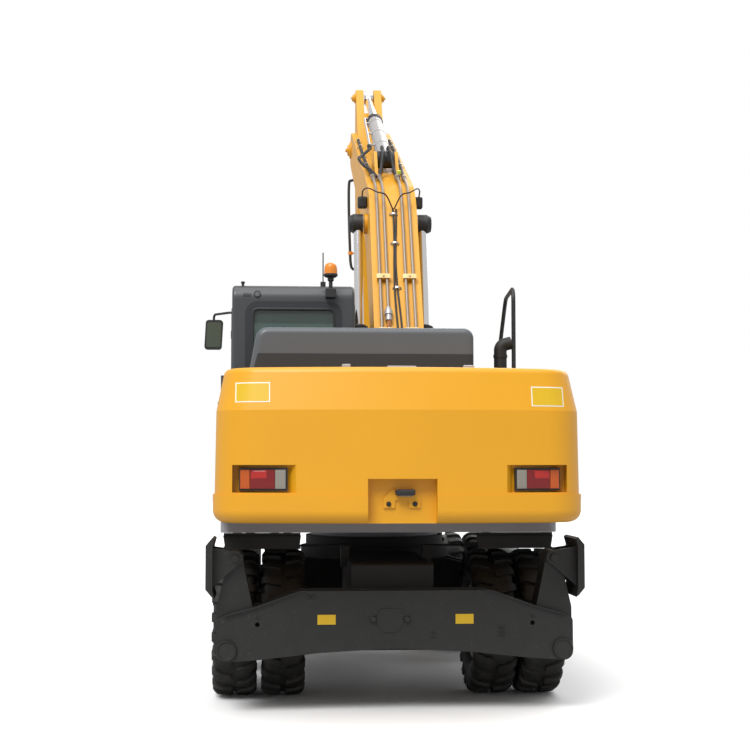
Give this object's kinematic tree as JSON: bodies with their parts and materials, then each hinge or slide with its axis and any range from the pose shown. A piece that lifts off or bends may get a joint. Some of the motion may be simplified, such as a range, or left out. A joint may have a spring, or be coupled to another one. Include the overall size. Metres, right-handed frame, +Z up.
{
  "type": "wheeled excavator",
  "caption": "Wheeled excavator with twin tyres, rear stabilizer, slewing upper with cab and raised boom, arm and bucket.",
  "frame": {"origin": "on the ground under the slew axis, midway across the machine", "axes": "+X the machine's right, +Y its front, +Z up"},
  "size_m": [2.7424, 7.9558, 6.023],
  "materials": {
    "amber_lens": "clear amber plastic",
    "black_plastic": "grained plastic",
    "boom_paint": "satin amber machine paint, sun lit",
    "cast_dark": "rough cast iron",
    "dark_paint": "satin dark grey paint",
    "frame_paint": "satin near black paint",
    "lamp_plastic": "clear red plastic",
    "pipe_steel": "plated steel",
    "rim_paint": "satin grey paint",
    "rod_chrome": "polished chrome",
    "seat_fabric": "woven seat cloth",
    "tail_paint": "satin amber machine paint",
    "tyre_rubber": "dusty rubber",
    "window_glass": "tinted glass"
  },
  "bodies": {
    "chassis": {"chassis_frame": "frame_paint", "slew_ring": "cast_dark", "front_axle": "cast_dark", "rear_axle": "cast_dark", "driveline": "cast_dark", "mudguards": "frame_paint", "step_boxes": "frame_paint", "stabilizer_beam": "frame_paint", "steering_cylinder": "frame_paint"},
    "steering_rod": {"steering_rod": "rod_chrome"},
    "knuckle_left": {"knuckle_left": "cast_dark"},
    "knuckle_right": {"knuckle_right": "cast_dark"},
    "wheel_front_left": {"tyres_front_left": "tyre_rubber", "rims_front_left": "rim_paint"},
    "wheel_front_right": {"tyres_front_right": "tyre_rubber", "rims_front_right": "rim_paint"},
    "wheel_rear_left": {"tyres_rear_left": "tyre_rubber", "rims_rear_left": "rim_paint"},
    "wheel_rear_right": {"tyres_rear_right": "tyre_rubber", "rims_rear_right": "rim_paint"},
    "stabilizer_leg_left": {"stabilizer_leg_left": "frame_paint"},
    "stabilizer_leg_right": {"stabilizer_leg_right": "frame_paint"},
    "stabilizer_pad_left": {"stabilizer_pad_left": "frame_paint"},
    "stabilizer_pad_right": {"stabilizer_pad_right": "frame_paint"},
    "upper": {"swing_frame": "boom_paint", "counterweight": "tail_paint", "engine": "cast_dark", "cooler_housing": "dark_paint", "pump_housing": "dark_paint", "tank_housing": "dark_paint", "cab_shell": "dark_paint", "cab_glass": "window_glass", "seat": "seat_fabric", "cab_controls": "black_plastic", "beacon": "amber_lens", "antenna": "black_plastic", "mirror_left": "black_plastic", "handrail_right": "frame_paint", "exhaust": "frame_paint", "tail_lamps": "lamp_plastic", "plate_bracket": "tail_paint"},
    "door_cooler": {"door_cooler": "dark_paint"},
    "door_pump": {"door_pump": "dark_paint"},
    "hood": {"hood": "dark_paint"},
    "cab_door": {"cab_door": "dark_paint", "cab_door_glass": "window_glass"},
    "boom": {"boom": "boom_paint", "boom_pipes": "pipe_steel", "work_lamps": "black_plastic"},
    "boom_cylinder_tubes": {"boom_cylinder_tubes": "boom_paint"},
    "boom_cylinder_rods": {"boom_cylinder_rods": "rod_chrome"},
    "arm": {"arm": "boom_paint"},
    "arm_cylinder_tube": {"arm_cylinder_tube": "boom_paint"},
    "arm_cylinder_rod": {"arm_cylinder_rod": "rod_chrome"},
    "bucket_cylinder_tube": {"bucket_cylinder_tube": "boom_paint"},
    "bucket_cylinder_rod": {"bucket_cylinder_rod": "rod_chrome"},
    "tipping_levers": {"tipping_levers": "boom_paint"},
    "bucket_link": {"bucket_link": "boom_paint"},
    "bucket": {"bucket": "frame_paint"}
  },
  "joints": [
    {"name": "slew", "type": "hinge", "parent": "chassis", "child": "upper", "pos_m": [0, 0, 1.105], "axis": [0, 0, 1], "continuous": true},
    {"name": "steering", "type": "hinge", "parent": "chassis", "child": "knuckle_left", "pos_m": [-0.478, 1.55, 0.525], "axis": [0, 0, 1], "range_deg": [-28, 28]},
    {"name": "steering_right", "type": "hinge", "parent": "chassis", "child": "knuckle_right", "pos_m": [0.478, 1.55, 0.525], "axis": [0, 0, 1], "range_deg": [-28.01, 28.01]},
    {"name": "steering_rod_slide", "type": "slide", "parent": "chassis", "child": "steering_rod", "axis": [1, 0, 0], "range_m": [-0.1007, 0.1007]},
    {"name": "wheel_front_left_spin", "type": "hinge", "parent": "knuckle_left", "child": "wheel_front_left", "pos_m": [-0.9, 1.55, 0.525], "axis": [1, 0, 0], "continuous": true},
    {"name": "wheel_front_right_spin", "type": "hinge", "parent": "knuckle_right", "child": "wheel_front_right", "pos_m": [0.9, 1.55, 0.525], "axis": [1, 0, 0], "continuous": true},
    {"name": "wheel_rear_left_spin", "type": "hinge", "parent": "chassis", "child": "wheel_rear_left", "pos_m": [-0.9, -1.25, 0.525], "axis": [1, 0, 0], "continuous": true},
    {"name": "wheel_rear_right_spin", "type": "hinge", "parent": "chassis", "child": "wheel_rear_right", "pos_m": [0.9, -1.25, 0.525], "axis": [1, 0, 0], "continuous": true},
    {"name": "leg_left", "type": "hinge", "parent": "chassis", "child": "stabilizer_leg_left", "pos_m": [-1.135, -2.07, 0.43], "axis": [0, -1, 0], "range_deg": [0, 128]},
    {"name": "leg_right", "type": "hinge", "parent": "chassis", "child": "stabilizer_leg_right", "pos_m": [1.135, -2.07, 0.43], "axis": [0, 1, 0], "range_deg": [0, 128]},
    {"name": "pad_left", "type": "hinge", "parent": "stabilizer_leg_left", "child": "stabilizer_pad_left", "pos_m": [-1.078, -2.07, 1.04], "axis": [0, 1, 0], "range_deg": [0, 50]},
    {"name": "pad_right", "type": "hinge", "parent": "stabilizer_leg_right", "child": "stabilizer_pad_right", "pos_m": [1.078, -2.07, 1.04], "axis": [0, -1, 0], "range_deg": [0, 50]},
    {"name": "cooler_door", "type": "hinge", "parent": "upper", "child": "door_cooler", "pos_m": [-1.214, -1.6655, 1.8], "axis": [0, 0, 1], "range_deg": [0, 100]},
    {"name": "pump_door", "type": "hinge", "parent": "upper", "child": "door_pump", "pos_m": [1.214, -0.6025, 1.8], "axis": [0, 0, 1], "range_deg": [0, 100]},
    {"name": "hood_lift", "type": "hinge", "parent": "upper", "child": "hood", "pos_m": [-0.83, -0.426, 2.314], "axis": [-1, 0, 0], "range_deg": [0, 60]},
    {"name": "cab_door_swing", "type": "hinge", "parent": "upper", "child": "cab_door", "pos_m": [-1.186, 0.425, 2.2], "axis": [0, 0, 1], "range_deg": [0, 165]},
    {"name": "boom_lift", "type": "hinge", "parent": "upper", "child": "boom", "pos_m": [0.25, 0.2, 1.95], "axis": [1, 0, 0], "range_deg": [-62, 24]},
    {"name": "boom_cylinder_tilt", "type": "hinge", "parent": "upper", "child": "boom_cylinder_tubes", "pos_m": [0.25, 0.95, 1.52], "axis": [1, 0, 0], "range_deg": [-64.86, 25.11]},
    {"name": "boom_cylinder_stroke", "type": "slide", "parent": "boom_cylinder_tubes", "child": "boom_cylinder_rods", "axis": [0, 0.2231, 0.9748], "range_m": [-0.8896, 0.3447]},
    {"name": "arm_swing", "type": "hinge", "parent": "boom", "child": "arm", "pos_m": [0.25, 4.42, 5.244], "axis": [-1, 0, 0], "range_deg": [-90, 18]},
    {"name": "arm_cylinder_tilt", "type": "hinge", "parent": "boom", "child": "arm_cylinder_tube", "pos_m": [0.25, 2.075, 4.651], "axis": [1, 0, 0], "range_deg": [-1.71, 8.52]},
    {"name": "arm_cylinder_stroke", "type": "slide", "parent": "arm_cylinder_tube", "child": "arm_cylinder_rod", "axis": [0, 0.9023, 0.4311], "range_m": [-1.0368, 0.2078]},
    {"name": "bucket_curl", "type": "hinge", "parent": "arm", "child": "bucket", "pos_m": [0.25, 4.48, 2.744], "axis": [-1, 0, 0], "range_deg": [-80, 74]},
    {"name": "lever_turn", "type": "hinge", "parent": "arm", "child": "tipping_levers", "pos_m": [0.25, 4.51, 3.16], "axis": [1, 0, 0], "range_deg": [-51.4, 55.57]},
    {"name": "link_turn", "type": "hinge", "parent": "tipping_levers", "child": "bucket_link", "pos_m": [0.25, 5.106, 3.088], "axis": [1, 0, 0], "range_deg": [-42.18, 39.02]},
    {"name": "bucket_cylinder_tilt", "type": "hinge", "parent": "arm", "child": "bucket_cylinder_tube", "pos_m": [0.25, 5.03, 5], "axis": [1, 0, 0], "range_deg": [-0.5, 0.5]},
    {"name": "bucket_cylinder_stroke", "type": "slide", "parent": "bucket_cylinder_tube", "child": "bucket_cylinder_rod", "axis": [0, 0.0397, -0.9992], "range_m": [-0.5349, 0.4948]}
  ],
  "couplings": [
    {"joint": "steering_right", "follows": "steering", "ratio": 1},
    {"joint": "steering_rod_slide", "follows": "steering", "m_per_rad": 0.205},
    {"joint": "boom_cylinder_tilt", "follows": "boom_lift", "ratio": 1.0459},
    {"joint": "boom_cylinder_stroke", "follows": "boom_lift", "m_per_rad": 0.8216},
    {"joint": "arm_cylinder_tilt", "follows": "arm_swing", "ratio": -0.0945},
    {"joint": "arm_cylinder_stroke", "follows": "arm_swing", "m_per_rad": 0.6597},
    {"joint": "lever_turn", "follows": "bucket_curl", "ratio": -0.6945},
    {"joint": "link_turn", "follows": "bucket_curl", "ratio": 0.5271},
    {"joint": "bucket_cylinder_tilt", "follows": "bucket_curl", "ratio": -0.0016},
    {"joint": "bucket_cylinder_stroke", "follows": "bucket_curl", "m_per_rad": 0.3827}
  ]
}
